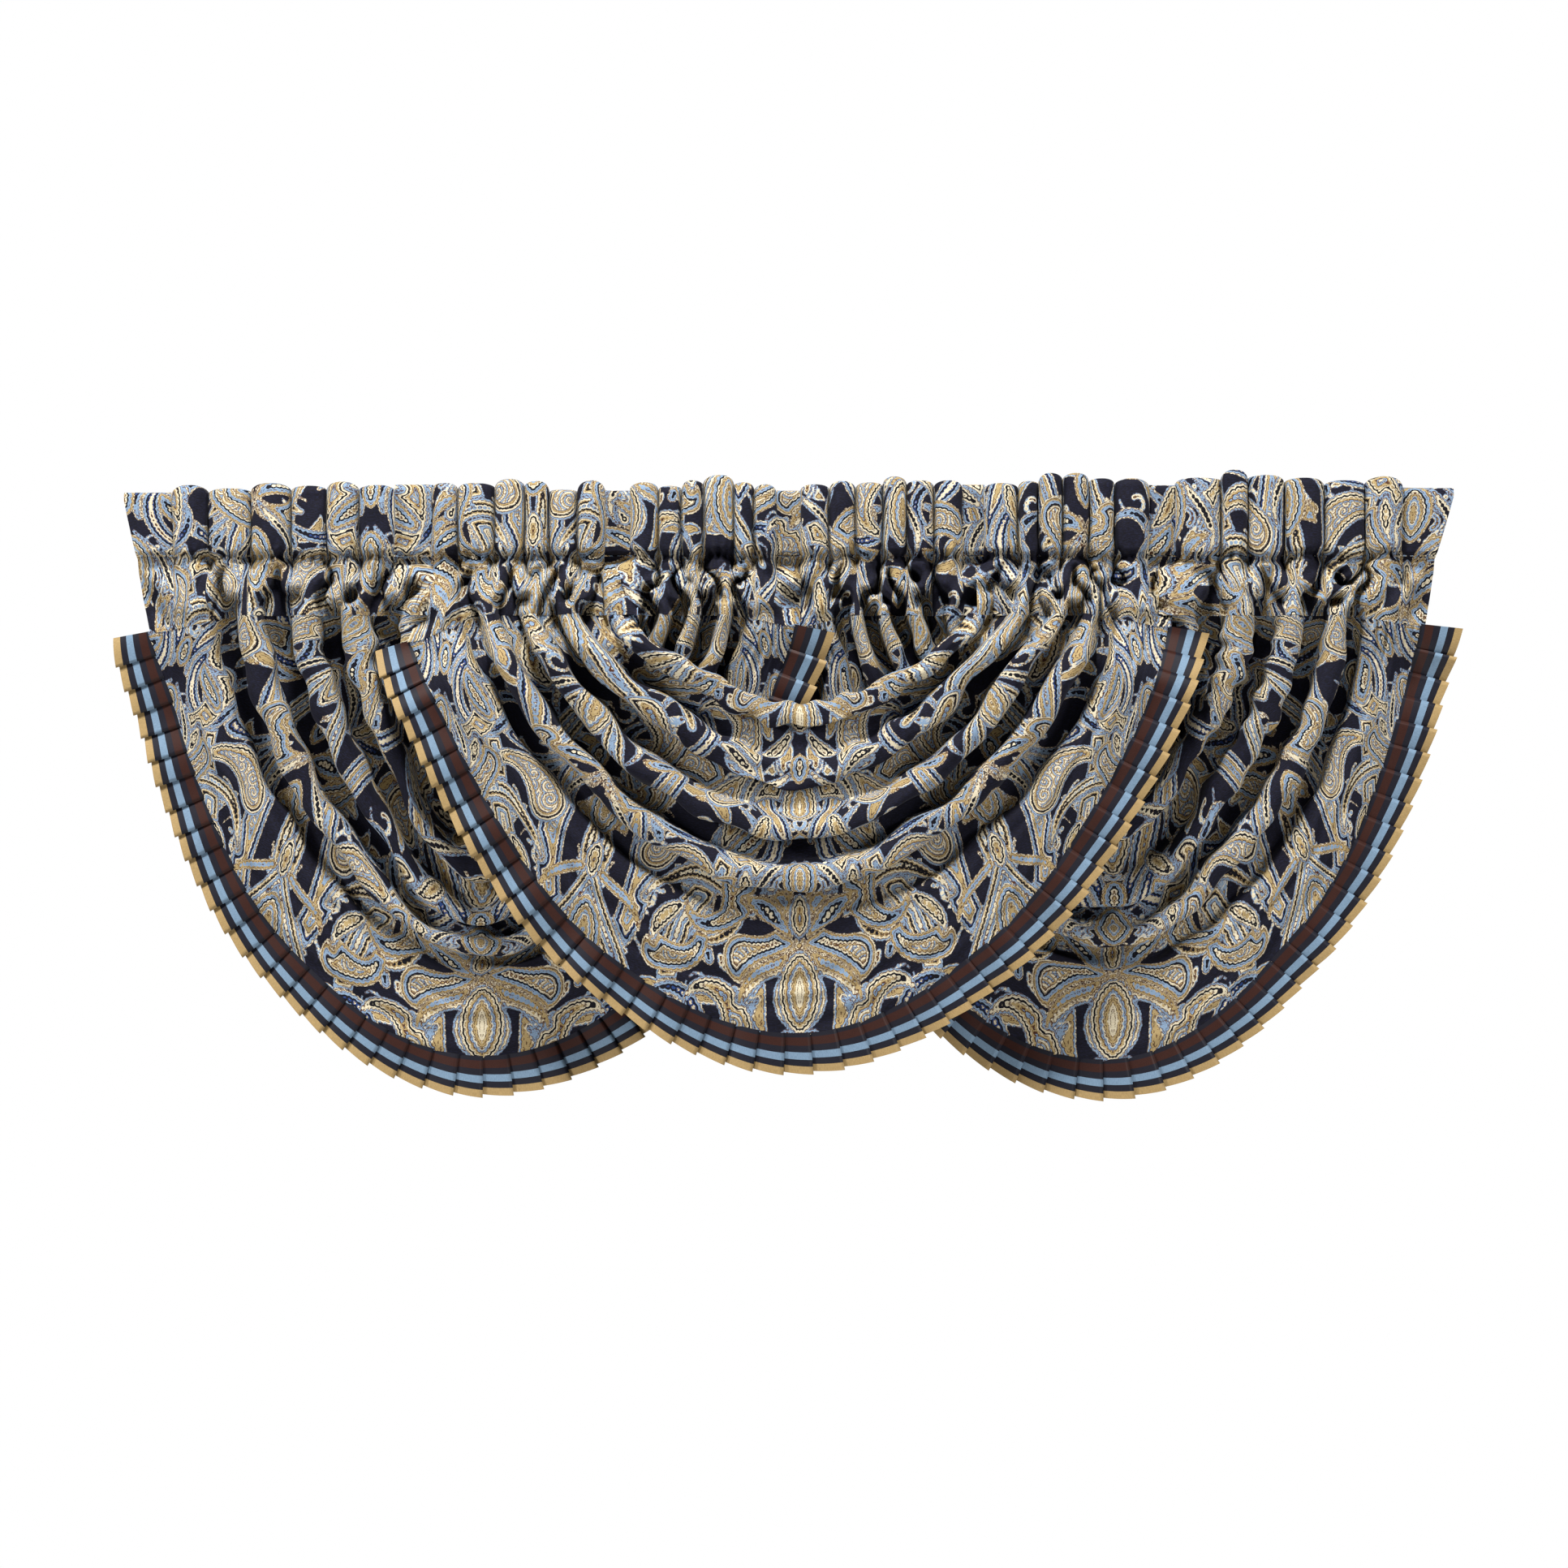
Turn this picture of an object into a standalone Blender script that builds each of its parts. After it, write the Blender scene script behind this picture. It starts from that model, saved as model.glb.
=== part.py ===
"""Waterfall valance: three swags of heavy woven cloth, side by side on one rod line.

Each panel is one swag that hangs from two gathered strips, with a pleated ribbon
trim round its curved hem. A strip is a length of cloth folded over the rod into a
pocket and stitched below it, so its lower part hangs free down to the seam where
the swag is sewn on. The strips of neighbouring panels take turns along the rod.

X runs to the right, Z up and the front faces -Y. The origin lies on the line
where the row of pockets bears on its rod, at the middle of the row.
"""
import math
from collections import namedtuple

import bmesh
import bpy

MM = 0.001

# Cloth and ribbon
CLOTH_THICK = 1.6 * MM
RIBBON_THICK = 1.2 * MM

# Levels of the strips
STITCH_Z = -106 * MM      # the row of stitches that closes the rod pocket
SEAM_Z = -191 * MM        # the seam between a strip and its swag
SEAM_GAP = 0.8 * MM       # clear height left between the two cloths at that seam
STRIP_GAP = 1.1 * MM      # clear width between neighbouring strips

# Depths of the strips
POCKET_HALF_DEPTH = 9 * MM
STITCH_Y = -2 * MM        # front cloth at the stitches
STITCH_LAYER_STEP = 2.4 * MM
POCKET_BULGE = 8 * MM     # how far a gather stands out over its creases
BACK_BULGE = 4 * MM
STITCH_BULGE = 3 * MM
SKIRT_BULGE = 6 * MM
SEAM_BULGE = 4 * MM
CREASE_DIP = 5 * MM       # how far the top of the pocket sinks at a crease
TAB_FULLNESS = 0.15       # the flat ends of a strip stand out by this share
SKIRT_SPREAD = 100 * MM   # the length of strip over which its end is drawn sideways
SKIRT_FLARE = 1.6         # how much of that sideways draw comes near the seam
INNER_TUCK = 6 * MM       # how far a strip's inner end draws in below the pocket
INNER_SPREAD = 40 * MM

# Swags
ANGLES = (0, 15, 30, 60, 90, 120, 150, 165, 180)   # from the left end round to the right
SEAM_CREST = 0.16         # height of a fold at the seam, as a share of its full height
FULL_DEPTH_ANGLE = 16     # degrees below the seam where the folds reach full height
CREST_WIDENING = 0.05
FLANK_UNDERCUT_BOTTOM = 0.03
FLANK_UNDERCUT_SIDE = 0.055
SCOOP_TURN = 16 * MM      # radius of the turned edge that ends the cloth at the scoop
HEM_LIFT = 0.4            # height of the hem line as a share of the border fold's
SWAG_COLUMNS = 20
BORDER_STEPS = 4
FOLD_STEPS = 6
TURN_STEPS = 3

# Trim
TRIM_WIDTH = 56 * MM
TRIM_TUCK = 5 * MM        # how far the ribbon reaches in behind the hem
TRIM_BEHIND = 3 * MM      # how far it lies behind the cloth there
PLEAT_PITCH = 42 * MM
PLEAT_FACE = 0.92         # share of a pleat's length that its face takes
PLEAT_DEPTH_INNER = 0.6 * MM
PLEAT_DEPTH_OUTER = 6 * MM
HEM_SAMPLE_ANGLE = 4      # degrees either way over which the hem's direction is read

# Each gather of a strip: its width along the rod and the level of its top, in mm.
Gather = namedtuple("Gather", "width top")
Strip = namedtuple("Strip", "name panel side start seam_y gathers tabs end_slant")
Fold = namedtuple("Fold", "name radii side_height bottom_height")
Panel = namedtuple("Panel", "name middle seam_y valley_y drop folds")

# tabs tells which ends are flat; end_slant is how far the outer end moves sideways
# by the stitches and by the seam, in mm.
STRIPS = (
    Strip("left_strip_outer", "left", 0, -988, -8,
          (Gather(68, -10), Gather(58, 1), Gather(60, -4), Gather(61, 4),
           Gather(54, 0), Gather(47, 6), Gather(52, 1), Gather(57, 2)),
          (0, 7), (18, 39)),
    Strip("center_strip_left", "center", 0, -532, -30,
          (Gather(40, 4), Gather(54, 4), Gather(43, 10), Gather(40, 7),
           Gather(40, -6), Gather(41, 8), Gather(38, -7)),
          (6,), (0, -33)),
    Strip("left_strip_inner", "left", 1, -236, -16,
          (Gather(42, 5), Gather(36, 0), Gather(29, 8), Gather(48, 16),
           Gather(31, 5), Gather(31, 2), Gather(37, -7)),
          (6,), (-4, -9)),
    Strip("right_strip_inner", "right", 0, 17.8, -2,
          (Gather(44, 2), Gather(38, 7), Gather(38, 5), Gather(38, 14),
           Gather(40, 8), Gather(44, 8), Gather(31, 2)),
          (6,), (0, 0)),
    Strip("center_strip_right", "center", 1, 291, -30,
          (Gather(51, 4), Gather(31, 7), Gather(34, 19), Gather(38, 19),
           Gather(41, 11), Gather(51, 11), Gather(40, 1)),
          (6,), (-2, -11)),
    Strip("right_strip_outer", "right", 1, 577, -8,
          (Gather(66, 12), Gather(40, 24), Gather(55, 16), Gather(59, 12),
           Gather(60, 8), Gather(58, 14), Gather(73, -3)),
          (6,), (-26, -42)),
)

# Each fold line of a swag: its distance in mm from the point midway along the
# panel's seam, at each of ANGLES, and the height of its crest near the strips and
# at the bottom. The hem row's heights are those of the border beside it.
PANELS = (
    Panel("left", -458, (-8, -16), (12, 0), (26, 16), (
        Fold("hem", (497, 481, 496, 580, 662, 584, 468, 449, 469), 0, 0),
        Fold("border", (416, 412, 416, 470, 542, 462, 396, 390, 406), 24, 9),
        Fold("first", (346, 342, 348, 403, 502, 396, 340, 346, 364), 42, 20),
        Fold("second", (260, 259, 266, 326, 454, 326, 288, 300, 318), 42, 22),
        Fold("third", (192, 193, 199, 250, 382, 258, 240, 258, 276), 40, 22),
        Fold("scoop", (130, 132, 137, 180, 288, 198, 198, 216, 248), 34, 24),
    )),
    Panel("center", 16, (-30, -30), (-58, -58), (40, 18), (
        Fold("hem", (581, 547, 542, 582, 624, 563, 522, 529, 550), 0, 0),
        Fold("border", (518, 485, 460, 468, 492, 455, 449, 472, 481), 24, 8),
        Fold("first", (462, 428, 397, 384, 378, 367, 376, 397, 432), 44, 26),
        Fold("second", (402, 358, 340, 318, 307, 307, 318, 330, 386), 46, 28),
        Fold("third", (346, 308, 260, 236, 250, 232, 250, 270, 326), 46, 18),
        Fold("scoop", (271, 221, 180, 156, 149, 155, 186, 223, 266), 38, 28),
    )),
    Panel("right", 484, (-2, -8), (24, 12), (16, 15), (
        Fold("hem", (468, 456, 474, 596, 667, 551, 468, 451, 460), 0, 0),
        Fold("border", (428, 414, 414, 474, 546, 468, 398, 389, 382), 24, 9),
        Fold("first", (382, 367, 360, 414, 486, 386, 341, 334, 334), 42, 20),
        Fold("second", (344, 324, 310, 348, 426, 313, 266, 263, 264), 42, 22),
        Fold("third", (300, 278, 258, 282, 318, 226, 196, 192, 191), 40, 22),
        Fold("scoop", (246, 226, 206, 216, 228, 168, 134, 130, 130), 34, 24),
    )),
)

# Colours of the cloth and the ribbon: linear red, green, blue; roughness; metallic
CLOTH_FINISH = ((0.30, 0.29, 0.27), 0.85, 0.0)
STRIP_FINISH = ((0.24, 0.25, 0.26), 0.85, 0.0)
RIBBON_FINISH = ((0.030, 0.026, 0.045), 0.6, 0.0)


def ease(value):
    """A smooth step from 0 to 1 while value runs from 0 to 1."""
    clamped = min(max(value, 0.0), 1.0)
    return clamped * clamped * (3 - 2 * clamped)


def mix(first, second, share):
    return first + (second - first) * share


def along(angles, values, angle):
    """The value at an angle on a smooth curve through values given at angles."""
    last = len(angles) - 1
    i = max(k for k in range(last) if angles[k] <= angle)
    span = angles[i + 1] - angles[i]

    def slope(k):
        before = max(k - 1, 0)
        after = min(k + 1, last)
        return (values[after] - values[before]) / (angles[after] - angles[before])

    t = (angle - angles[i]) / span
    start = (2 * t**3 - 3 * t**2 + 1) * values[i] + (t**3 - 2 * t**2 + t) * span * slope(i)
    end = (3 * t**2 - 2 * t**3) * values[i + 1] + (t**3 - t**2) * span * slope(i + 1)
    return start + end


def from_side(angle):
    """0 at the bottom of a swag and 1 at either end."""
    return abs(math.cos(math.radians(angle)))


def below_seam(angle):
    """0 at the seam, rising to 1 where the folds have opened."""
    return ease(min(angle, 180 - angle) / FULL_DEPTH_ANGLE)


def seam_drop(panel, radius, right):
    """How far the seam sinks below its level towards the panel's outer ends."""
    side = 8 if right else 0
    outer = panel.folds[0].radii[side]
    inner = panel.folds[2].radii[side]
    return panel.drop[int(right)] * ease((radius - inner) / (outer - inner))


def fold_section(panel, angle):
    """The cloth's section at an angle, as (radius, y) in mm from hem to scoop."""
    radii = [along(ANGLES, fold.radii, angle) for fold in panel.folds]
    side = from_side(angle) ** 1.2
    opened = below_seam(angle)
    share = mix(SEAM_CREST, 1.0, opened)
    heights = [mix(f.bottom_height, f.side_height, side) * share for f in panel.folds]
    right_share = ease(angle / 180)
    seam_y = mix(*panel.seam_y, right_share)
    valley = mix(seam_y + 3, mix(*panel.valley_y, right_share), opened)
    undercut = FLANK_UNDERCUT_BOTTOM + FLANK_UNDERCUT_SIDE * side * opened

    hem_y = valley - HEM_LIFT * heights[1]
    section = []
    for step in range(BORDER_STEPS):
        t = step / BORDER_STEPS
        y = mix(hem_y, valley - heights[1], math.sin(t * math.pi / 2))
        section.append((mix(radii[0], radii[1], t), y))
    for i in range(1, len(radii) - 1):
        pitch = radii[i] - radii[i + 1]
        for step in range(FOLD_STEPS):
            t = step / FOLD_STEPS
            turn = 2 * math.pi * t
            height = mix(heights[i], heights[i + 1], ease(t))
            radius = radii[i] - pitch * (
                t + CREST_WIDENING * math.sin(turn) + undercut * math.sin(2 * turn))
            section.append((radius, valley - height * (1 + math.cos(turn)) / 2))
    for step in range(TURN_STEPS + 1):
        turn = math.pi * step / TURN_STEPS
        radius = radii[-1] - SCOOP_TURN / MM * math.sin(turn)
        section.append((radius, valley - heights[-1] * (1 + math.cos(turn)) / 2))
    return section


def swag_point(panel, angle, radius, y):
    """A point of a swag in metres, with its ends let down along the seam's drop."""
    drop = seam_drop(panel, radius, angle > 90)
    drop_angle = math.degrees(math.asin(drop / radius))
    if angle <= 90:
        turned = mix(drop_angle, 90, angle / 90)
    else:
        turned = mix(90, 180 - drop_angle, (angle - 90) / 90)
    x = panel.middle - radius * math.cos(math.radians(turned))
    z = SEAM_Z / MM - radius * math.sin(math.radians(turned))
    return (x * MM, y * MM, z * MM - SEAM_GAP / 2)


def sheet(name, rows, thickness, finish):
    """A cloth through a grid of points, rows of equal length, with its thickness."""
    mesh = bpy.data.meshes.new(name)
    bm = bmesh.new()
    grid = [[bm.verts.new(point) for point in row] for row in rows]
    for upper, lower in zip(grid, grid[1:]):
        for a, b, c, d in zip(upper, upper[1:], lower[1:], lower):
            bm.faces.new((a, b, c, d))
    bm.to_mesh(mesh)
    bm.free()
    mesh.shade_smooth()
    cloth = bpy.data.objects.new(name, mesh)
    collection.objects.link(cloth)
    solidify = cloth.modifiers.new("thickness", "SOLIDIFY")
    solidify.thickness = thickness
    solidify.offset = 0
    solidify.use_even_offset = True
    colour, roughness, metallic = finish
    material = bpy.data.materials.new(name)
    material.use_nodes = True
    shader = material.node_tree.nodes["Principled BSDF"]
    shader.inputs["Base Color"].default_value = (*colour, 1)
    shader.inputs["Roughness"].default_value = roughness
    shader.inputs["Metallic"].default_value = metallic
    mesh.materials.append(material)
    return cloth


def make_swag(panel):
    """One swag: a section of folds carried round from the left end to the right."""
    rows = []
    for column in range(SWAG_COLUMNS + 1):
        angle = 180 * column / SWAG_COLUMNS
        rows.append([swag_point(panel, angle, r, y) for r, y in fold_section(panel, angle)])
    sheet(panel.name + "_swag", rows, CLOTH_THICK, CLOTH_FINISH)


def hem_point(panel, angle):
    radius, y = fold_section(panel, angle)[0]
    return swag_point(panel, angle, radius, y)


def outward(panel, angle):
    """The direction, in X and Z, in which the trim stands away from the hem."""
    before = hem_point(panel, max(angle - HEM_SAMPLE_ANGLE, 0))
    after = hem_point(panel, min(angle + HEM_SAMPLE_ANGLE, 180))
    run = math.hypot(after[0] - before[0], after[2] - before[2])
    return (after[2] - before[2]) / run, (before[0] - after[0]) / run


def hem_line(panel):
    """The hem's corners as (arc length in metres, angle, point)."""
    line = []
    length = 0.0
    for column in range(SWAG_COLUMNS + 1):
        angle = 180 * column / SWAG_COLUMNS
        point = hem_point(panel, angle)
        if line:
            length += math.dist(point, line[-1][2])
        line.append((length, angle, point))
    return line


def at_length(line, length):
    """The angle and the point at an arc length along the hem."""
    k = next(k for k in range(1, len(line)) if line[k][0] >= length)
    start, start_angle, a = line[k - 1]
    end, end_angle, b = line[k]
    t = (length - start) / (end - start)
    return mix(start_angle, end_angle, t), [mix(p, q, t) for p, q in zip(a, b)]


def make_trim(panel):
    """The pleated ribbon: each face rises to its fold, then steps back to the next."""
    line = hem_line(panel)
    total = line[-1][0]
    pleats = round(total / PLEAT_PITCH)
    pitch = total / pleats
    rows = []
    for pleat in range(pleats):
        for length, raised in ((pitch * pleat, 0), (pitch * (pleat + PLEAT_FACE), 1)):
            angle, (x, y, z) = at_length(line, length)
            out_x, out_z = outward(panel, angle)
            row = []
            for reach, depth in ((-TRIM_TUCK, PLEAT_DEPTH_INNER), (TRIM_WIDTH, PLEAT_DEPTH_OUTER)):
                row.append((x + out_x * reach, y + TRIM_BEHIND - depth * raised, z + out_z * reach))
            rows.append(row)
    sheet(panel.name + "_trim", rows, RIBBON_THICK, RIBBON_FINISH)


def strip_columns(strip):
    """(x, top, fullness) in mm along a strip: each gather has a crease and two shoulders."""
    columns = []
    x = strip.start
    for i, gather in enumerate(strip.gathers):
        full = TAB_FULLNESS if i in strip.tabs else 1.0
        before = strip.gathers[max(i - 1, 0)].top
        crease_top = (before + gather.top) / 2 - CREASE_DIP / MM
        columns.append((x, crease_top if i else gather.top, 0.0))
        columns.append((x + 0.27 * gather.width, gather.top, full))
        columns.append((x + 0.73 * gather.width, gather.top, full))
        x += gather.width
    columns.append((x - STRIP_GAP / MM, strip.gathers[-1].top - 3, 0.0))
    return columns


def strip_section(top, fullness, seam_y, drop):
    """The cloth's section over the rod, as (slant share, y, z) in mm, seam first."""
    stitch = STITCH_Z / MM
    seam = SEAM_Z / MM - drop + SEAM_GAP / MM / 2
    half = POCKET_HALF_DEPTH / MM
    front = -half - POCKET_BULGE / MM * fullness
    back = half + BACK_BULGE / MM * fullness
    stitch_y = STITCH_Y / MM - STITCH_BULGE / MM * fullness
    skirt_y = mix(stitch_y, seam_y, 0.5) - SKIRT_BULGE / MM * fullness
    return (
        (2.0, seam_y - SEAM_BULGE / MM * fullness, seam),
        (1.5, skirt_y, mix(stitch, seam, 0.5)),
        (1.0, stitch_y, stitch - 4),
        (0.9, front + 1, stitch + 16),
        (0.5, front, mix(stitch, top, 0.55)),
        (0.1, front + 2, top - 10),
        (0.0, mix(front, back, 0.5), top),
        (0.1, back - 1, top - 11),
        (0.5, back, mix(stitch, top, 0.5)),
        (0.9, back - 3, stitch + 14),
        (1.0, stitch_y + STITCH_LAYER_STEP / MM, stitch + 1),
    )


def make_strip(strip):
    """One gathered strip with its rod pocket."""
    panel = next(p for p in PANELS if p.name == strip.panel)
    columns = strip_columns(strip)
    first = columns[0][0]
    last = columns[-1][0]
    rows = []
    for x, top, fullness in columns:
        outer_distance = (last - x) if strip.side else (x - first)
        inner_distance = last - first - outer_distance
        pull = 1 - ease(outer_distance / (SKIRT_SPREAD / MM))
        inner_pull = 1 - ease(inner_distance / (INNER_SPREAD / MM))
        tuck = inner_pull * INNER_TUCK / MM * (1 if strip.side else -1)
        row = []
        for slant, y, z in strip_section(top, fullness, strip.seam_y, 0):
            to_stitch = strip.end_slant[0] * min(slant, 1.0)
            below = max(slant - 1.0, 0.0)
            to_seam = (strip.end_slant[1] - strip.end_slant[0]) * below ** SKIRT_FLARE
            moved_x = x + pull * (to_stitch + to_seam) + tuck * min(slant, 1.0)
            drop = seam_drop(panel, abs(moved_x - panel.middle), bool(strip.side))
            lowered = z - drop * below
            row.append((moved_x * MM, y * MM, lowered * MM))
        rows.append(row)
    sheet(strip.name, rows, CLOTH_THICK, STRIP_FINISH)


for old in list(bpy.data.objects):
    bpy.data.objects.remove(old, do_unlink=True)
collection = bpy.data.collections.new("waterfall_valance")
bpy.context.scene.collection.children.link(collection)
for strip in STRIPS:
    make_strip(strip)
for panel in PANELS:
    make_swag(panel)
    make_trim(panel)
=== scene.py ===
# %% [markdown]
# # A waterfall valance
#
# Three swags of heavy woven cloth hang side by side on one rod line. Each one is a
# draped cloth sewn to two gathered strips, with a pleated ribbon round its hem.
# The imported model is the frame: it gives the place and the size of every piece. Its
# solids are plain and a few millimetres thick, so this lesson lays a finer, thinner
# cloth on the folds of each one and puts it in that solid's place.

# %% Load the frame
import math
from collections import namedtuple

import bpy
import numpy as np
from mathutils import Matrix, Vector


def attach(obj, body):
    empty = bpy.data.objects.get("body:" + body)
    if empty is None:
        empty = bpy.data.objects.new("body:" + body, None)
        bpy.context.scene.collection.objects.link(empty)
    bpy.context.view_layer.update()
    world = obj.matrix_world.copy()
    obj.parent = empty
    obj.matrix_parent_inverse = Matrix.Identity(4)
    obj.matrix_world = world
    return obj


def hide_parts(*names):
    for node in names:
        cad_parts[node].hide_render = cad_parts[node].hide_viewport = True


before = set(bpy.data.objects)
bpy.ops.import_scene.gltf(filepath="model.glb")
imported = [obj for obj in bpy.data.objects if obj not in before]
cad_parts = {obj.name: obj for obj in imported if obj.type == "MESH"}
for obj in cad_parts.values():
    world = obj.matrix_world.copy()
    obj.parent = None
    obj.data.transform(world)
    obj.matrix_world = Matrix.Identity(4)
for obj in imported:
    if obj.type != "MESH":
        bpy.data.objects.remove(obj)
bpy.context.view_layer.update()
print("nodes in the frame:", len(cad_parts))

# %% [markdown]
# ## Measures
#
# All tables are in millimetres and become metres when a mesh is made. Each fold of a
# swag could be a drawn curve of its own, but such curves soon cross. Polar form is
# simpler: stand at the point midway along the panel's seam, and read how far away each
# fold line lies at a few angles, from the left end round to the right. Nested curves
# then stay nested, and a smooth curve runs through each row.
#
# A fold has its radii and its height at the sides and at the bottom. A panel has its
# middle, and for its left and right end the y of the seam, the y of the hollows and how
# far the seam's end hangs down. A strip has the panel it belongs to, its side (0 is
# left), where it starts, its gathers with their widths and tops, the gathers that are
# left flat as tabs, and how far its outer end leans at the stitches and at the seam.

# %% Tables of folds and gathers
MM = 0.001
STITCH_Z = -106           # the stitches below the rod pocket
SEAM_Z = -191             # the seam between a strip and its swag
ANGLES = np.array((0, 15, 30, 60, 90, 120, 150, 165, 180), dtype=float)

Fold = namedtuple("Fold", "name radii side_height bottom_height")
Panel = namedtuple("Panel", "name middle seam_y valley_y drop folds")
Strip = namedtuple("Strip", "name panel side start gathers tabs end_slant")

PANELS = (
    Panel("left", -458, (-8, -16), (28, 20), (26, 16), (
        Fold("hem", (497, 481, 496, 580, 662, 584, 468, 449, 469), 0, 0),
        Fold("border", (416, 412, 416, 470, 542, 462, 396, 390, 406), 36, 12),
        Fold("first", (346, 342, 348, 403, 502, 396, 340, 346, 364), 58, 38),
        Fold("second", (260, 259, 266, 326, 454, 326, 288, 300, 318), 60, 40),
        Fold("third", (192, 193, 199, 250, 382, 258, 240, 258, 276), 56, 40),
        Fold("scoop", (92, 100, 118, 172, 288, 198, 196, 206, 228), 44, 32),
    )),
    Panel("center", 16, (-30, -30), (-50, -50), (40, 18), (
        Fold("hem", (581, 547, 542, 582, 624, 563, 522, 529, 550), 0, 0),
        Fold("border", (518, 485, 460, 468, 492, 455, 449, 472, 481), 36, 10),
        Fold("first", (462, 428, 397, 384, 392, 367, 376, 397, 432), 56, 46),
        Fold("second", (402, 358, 340, 318, 322, 307, 318, 330, 386), 58, 48),
        Fold("third", (346, 308, 260, 236, 246, 232, 250, 270, 326), 58, 8),
        Fold("scoop", (271, 221, 180, 156, 149, 155, 186, 223, 266), 46, 14),
    )),
    Panel("right", 484, (-2, -8), (32, 30), (16, 15), (
        Fold("hem", (468, 456, 474, 596, 667, 551, 468, 451, 460), 0, 0),
        Fold("border", (428, 414, 414, 474, 546, 468, 398, 389, 382), 36, 12),
        Fold("first", (382, 367, 360, 414, 486, 386, 341, 334, 334), 58, 38),
        Fold("second", (344, 324, 310, 348, 426, 313, 266, 263, 264), 60, 40),
        Fold("third", (300, 278, 258, 282, 318, 226, 196, 192, 191), 56, 40),
        Fold("scoop", (236, 222, 204, 216, 228, 158, 118, 104, 96), 44, 32),
    )),
)

STRIPS = (
    Strip("left_strip_outer", "left", 0, -988,
          ((68, -10), (58, 1), (60, -4), (61, 4),
           (54, 0), (47, 6), (52, 1), (57, 2)),
          (0, 7), (18, 39)),
    Strip("center_strip_left", "center", 0, -532,
          ((40, 4), (54, 4), (43, 10), (40, 7),
           (40, -6), (41, 8), (38, -7)),
          (6,), (0, -33)),
    Strip("left_strip_inner", "left", 1, -236,
          ((42, 5), (36, 0), (29, 8), (48, 16),
           (31, 5), (31, 2), (37, -7)),
          (6,), (-1, -3)),
    Strip("right_strip_inner", "right", 0, 17.8,
          ((44, 2), (38, 7), (38, 5), (38, 14),
           (40, 8), (44, 8), (31, 2)),
          (6,), (0, -12)),
    Strip("center_strip_right", "center", 1, 291,
          ((51, 4), (31, 7), (34, 19), (38, 19),
           (41, 11), (51, 11), (40, 1)),
          (6,), (-2, -11)),
    Strip("right_strip_outer", "right", 1, 577,
          ((66, 12), (40, 24), (55, 16), (59, 12),
           (60, 8), (58, 14), (73, -3)),
          (6,), (-26, -42)),
)
print("panels:", [panel.name for panel in PANELS], "folds:", [fold.name for fold in PANELS[0].folds])

# %% [markdown]
# ## Smooth helpers
#
# Three small functions carry the shapes: a blend, a soft step, and a smooth curve
# through a row of the table. They could loop over points, but on whole arrays one call
# covers a mesh and the script stays quick.


# %% Blend, soft step and smooth curve
def mix(first, second, share):
    return first + (second - first) * share


def ease(value):
    clamped = np.clip(value, 0.0, 1.0)
    return clamped * clamped * (3 - 2 * clamped)


def along(values, at):
    """A smooth curve through the values at ANGLES, read at an array of angles."""
    values = np.array(values, dtype=float)
    slopes = np.gradient(values, ANGLES)
    i = np.clip(np.searchsorted(ANGLES, at, side="right") - 1, 0, len(ANGLES) - 2)
    span = ANGLES[i + 1] - ANGLES[i]
    t = (at - ANGLES[i]) / span
    start = (2 * t**3 - 3 * t**2 + 1) * values[i] + (t**3 - 2 * t**2 + t) * span * slopes[i]
    end = (3 * t**2 - 2 * t**3) * values[i + 1] + (t**3 - t**2) * span * slopes[i + 1]
    return start + end


print("hem of the middle panel at 45 degrees:", along(PANELS[1].folds[0].radii, 45.0).round())

# %% [markdown]
# ## The woven design
#
# A jacquard cloth draws its figures with coloured wefts, and a paisley is a teardrop or
# a scroll whose outline is echoed inwards, line after line. A distance field gives just
# that: every contour of the depth inside a brush stroke is one of the echoed lines. A
# painted picture would do too, but strokes stay sharp at any size and are easy to move.
# A stroke has a start, a heading, two bends (in degrees a 100 mm) and a half width at
# its start, middle and end. A bend that grows makes a scroll. Later strokes lie over
# earlier ones. The design is mirrored about u = 0 and u = 340.

# %% Strokes, and where they go on half a repeat
TILE_WIDTH = 340          # mm from one mirror axis to the next
TILE_HEIGHT = 620         # mm from one repeat to the next
TRIES = 60                # places tried for each one kept
Stroke = namedtuple("Stroke", "u v heading length bend_start bend_end w_start w_middle w_end")


def scatter(count, seed, margin):
    """Evenly spread places on the half repeat: each is the farthest of many tries."""
    draw = np.random.default_rng(seed)
    low, high = (margin, 0), (TILE_WIDTH - margin, TILE_HEIGHT)
    places = [draw.uniform(low, high)]
    while len(places) < count:
        tries = draw.uniform(low, high, (TRIES, 2))
        gap = np.abs(tries[:, None] - np.array(places))
        gap[..., 1] = np.minimum(gap[..., 1], TILE_HEIGHT - gap[..., 1])
        places.append(tries[np.argmax(np.hypot(gap[..., 0], gap[..., 1]).min(1))])
    return places


def strew(count, seed, length, bends, widths, margin=12):
    """Strokes of one kind at scattered places, turned and curled at random."""
    draw = np.random.default_rng(seed + 1)
    strokes = []
    for u, v in scatter(count, seed, margin):
        curl = draw.choice((-1, 1))
        size = draw.uniform(0.8, 1.2)
        strokes.append(Stroke(u, v, draw.uniform(0, 360), length * size,
                              curl * bends[0] / size, curl * bends[1] / size,
                              *(width * size for width in widths)))
    return strokes


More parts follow.
